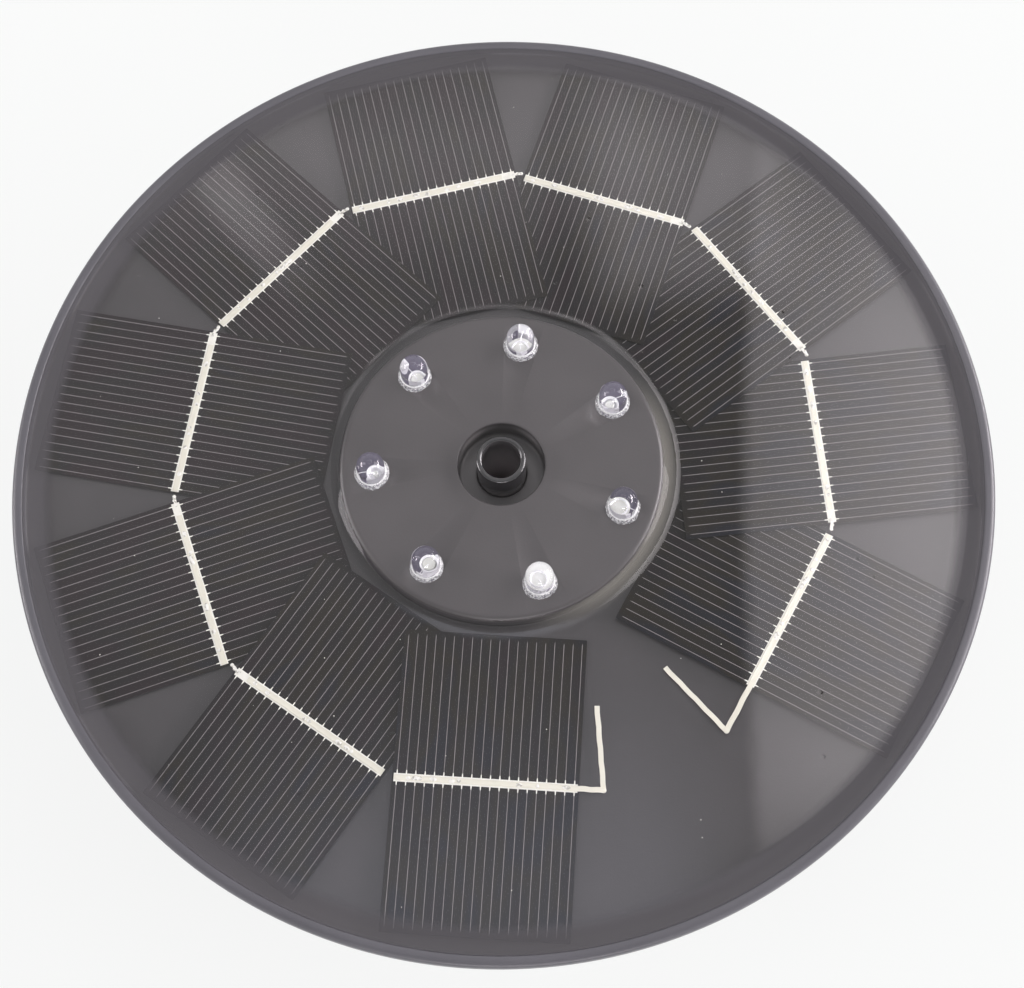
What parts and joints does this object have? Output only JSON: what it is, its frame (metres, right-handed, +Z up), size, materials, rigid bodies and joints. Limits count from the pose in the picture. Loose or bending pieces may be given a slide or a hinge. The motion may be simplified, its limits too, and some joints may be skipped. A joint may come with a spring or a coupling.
{
  "type": "floating solar fountain pump",
  "caption": "Round floating solar fountain: a tray of fanned solar cells and LEDs round an outlet tube, over a submersible pump in a slotted strainer.",
  "frame": {"origin": "on the outlet tube's axis, at the underside of the strainer that the part rests on", "axes": "+Z up, out of the outlet tube; the rotor's axis runs along Y with the intake eye towards -Y; the empty place in the ring of cells lies towards +X and -Y"},
  "size_m": [0.175, 0.175, 0.0553],
  "materials": {
    "tray_plastic": "moulded black plastic, satin",
    "hull_plastic": "moulded black plastic, fine texture",
    "pump_plastic": "moulded black plastic, semi-gloss",
    "cage_plastic": "moulded black plastic",
    "clear_resin": "cast clear resin, glossy",
    "clear_lens": "water-clear epoxy",
    "silicon": "dark silicon with silver fingers",
    "tinned_ribbon": "tinned copper ribbon",
    "circuit_board": "green solder mask",
    "seal_rubber": "matt black rubber",
    "button_rubber": "soft black rubber",
    "white_plastic": "moulded plastic",
    "ferrite": "ground ferrite",
    "ceramic": "polished ceramic",
    "laminations": "stacked steel sheet",
    "copper_wire": "enamelled copper wire",
    "battery_wrap": "shrink wrap",
    "screw_steel": "stainless steel",
    "cable_jacket": "flexible cable jacket"
  },
  "bodies": {
    "disc": {"top_tray": "tray_plastic", "resin_cover": "clear_resin", "led_board": "circuit_board", "bottom_hull": "hull_plastic", "hull_seal": "seal_rubber", "pump_body": "pump_plastic", "pump_cover": "pump_plastic", "cover_seal": "seal_rubber", "saddle_gasket": "seal_rubber", "tube_seal": "seal_rubber", "front_shaft_seat": "seal_rubber", "rear_shaft_seat": "seal_rubber", "rotor_shaft": "ceramic", "stator_core": "laminations", "stator_winding": "copper_wire", "motor_cap": "pump_plastic", "battery_pack": "battery_wrap", "control_board": "circuit_board", "push_switch": "white_plastic", "button_seal": "seal_rubber", "motor_lead": "cable_jacket", "battery_lead": "cable_jacket", "solar_cell_1": "silicon", "solar_cell_2": "silicon", "solar_cell_3": "silicon", "solar_cell_4": "silicon", "solar_cell_5": "silicon", "solar_cell_6": "silicon", "solar_cell_7": "silicon", "solar_cell_8": "silicon", "solar_cell_9": "silicon", "solar_cell_10": "silicon", "cell_ribbon_1": "tinned_ribbon", "cell_ribbon_2": "tinned_ribbon", "cell_ribbon_3": "tinned_ribbon", "cell_ribbon_4": "tinned_ribbon", "cell_ribbon_5": "tinned_ribbon", "cell_ribbon_6": "tinned_ribbon", "cell_ribbon_7": "tinned_ribbon", "cell_ribbon_8": "tinned_ribbon", "cell_ribbon_9": "tinned_ribbon", "cell_ribbon_10": "tinned_ribbon", "led_1": "clear_lens", "led_2": "clear_lens", "led_3": "clear_lens", "led_4": "clear_lens", "led_5": "clear_lens", "led_6": "clear_lens", "led_7": "clear_lens", "hull_screw_1": "screw_steel", "hull_screw_2": "screw_steel", "hull_screw_3": "screw_steel", "pump_screw_1": "screw_steel", "pump_screw_2": "screw_steel", "pump_screw_3": "screw_steel"},
    "rotor": {"impeller": "white_plastic", "rotor_magnet": "ferrite"},
    "button": {"power_button": "button_rubber"},
    "strainer": {"strainer_cage": "cage_plastic"}
  },
  "joints": [
    {"name": "rotor_spin", "type": "hinge", "parent": "disc", "child": "rotor", "pos_m": [-0.0076, 0, 0.0165], "axis": [0, 1, 0], "continuous": true},
    {"name": "button_press", "type": "slide", "parent": "disc", "child": "button", "axis": [0, 0, 1], "range_m": [0, 0.0012], "stiffness_N_per_m": 1200, "springref_m": -0.0005},
    {"name": "strainer_pull", "type": "slide", "parent": "disc", "child": "strainer", "axis": [0, 0, -1], "range_m": [0, 0.03]}
  ]
}
